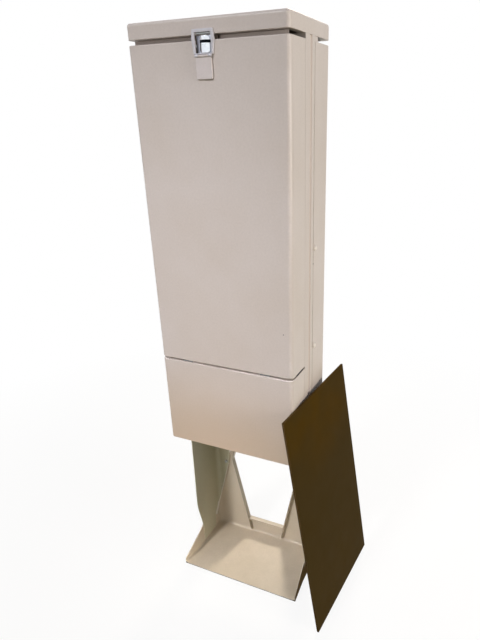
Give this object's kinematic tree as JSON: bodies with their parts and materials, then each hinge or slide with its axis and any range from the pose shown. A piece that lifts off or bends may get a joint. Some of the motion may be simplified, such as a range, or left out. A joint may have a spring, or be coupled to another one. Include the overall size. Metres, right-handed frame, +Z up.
{
  "type": "outdoor control cabinet",
  "caption": "Tall sheet-metal outdoor control cabinet on an open ground stand, with a tilt-out front door, flap-covered lock, vented roof cap and a leaning mounting board.",
  "frame": {"origin": "on the ground under the middle of the cabinet, on the stand's base", "axes": "+X to the cabinet's right side as its door is faced, +Y to its back, +Z up"},
  "size_m": [0.5437, 0.3982, 1.604],
  "materials": {
    "cabinet_paint": "satin beige-grey powder coat",
    "stand_paint": "satin beige powder coat",
    "lock_paint": "satin grey-beige paint",
    "zinc": "zinc-plated steel",
    "chrome": "polished chrome plate",
    "copper": "bare copper bar",
    "board": "dark brown film-faced board, smooth"
  },
  "bodies": {
    "cabinet": {"roof_cap": "cabinet_paint", "roof_bolts": "zinc", "roof_nuts": "zinc", "rear_shell": "cabinet_paint", "rear_shell_screws": "zinc", "side_post_right": "cabinet_paint", "side_post_left": "cabinet_paint", "top_crossbar": "zinc", "middle_crossbar": "zinc", "earth_bar": "copper", "earth_spacers": "zinc", "earth_screws": "zinc", "cable_clamp_rail": "zinc", "rail_bolts": "zinc", "rail_nuts": "zinc", "lower_panel": "cabinet_paint", "panel_brackets": "zinc", "panel_screws": "zinc", "lock_keeper": "zinc", "ground_stand": "stand_paint", "leg_right": "stand_paint", "leg_left": "stand_paint", "leg_bolts": "zinc", "leg_nuts": "zinc", "stand_bolts": "zinc", "stand_nuts": "zinc", "mounting_board": "board"},
    "door": {"front_door": "cabinet_paint", "door_hooks": "zinc", "lock_housing": "lock_paint", "lock_bracket": "zinc", "lock_bracket_nuts": "zinc", "lock_screws": "zinc", "lock_barrel": "chrome", "lock_nut": "zinc", "flap_pin": "chrome"},
    "plug": {"lock_plug": "chrome", "lock_cam": "zinc", "cam_screw": "zinc"},
    "flap": {"lock_flap": "lock_paint"}
  },
  "joints": [
    {"name": "door_tilt", "type": "hinge", "parent": "cabinet", "child": "door", "pos_m": [0, -0.115, 0.7818], "axis": [1, 0, 0], "range_deg": [0, 40]},
    {"name": "key_turn", "type": "hinge", "parent": "door", "child": "plug", "pos_m": [0, -0.112, 1.558], "axis": [0, -1, 0], "range_deg": [0, 90]},
    {"name": "flap_swing", "type": "hinge", "parent": "door", "child": "flap", "pos_m": [0, -0.125, 1.5301], "axis": [-1, 0, 0], "range_deg": [0, 178]}
  ]
}
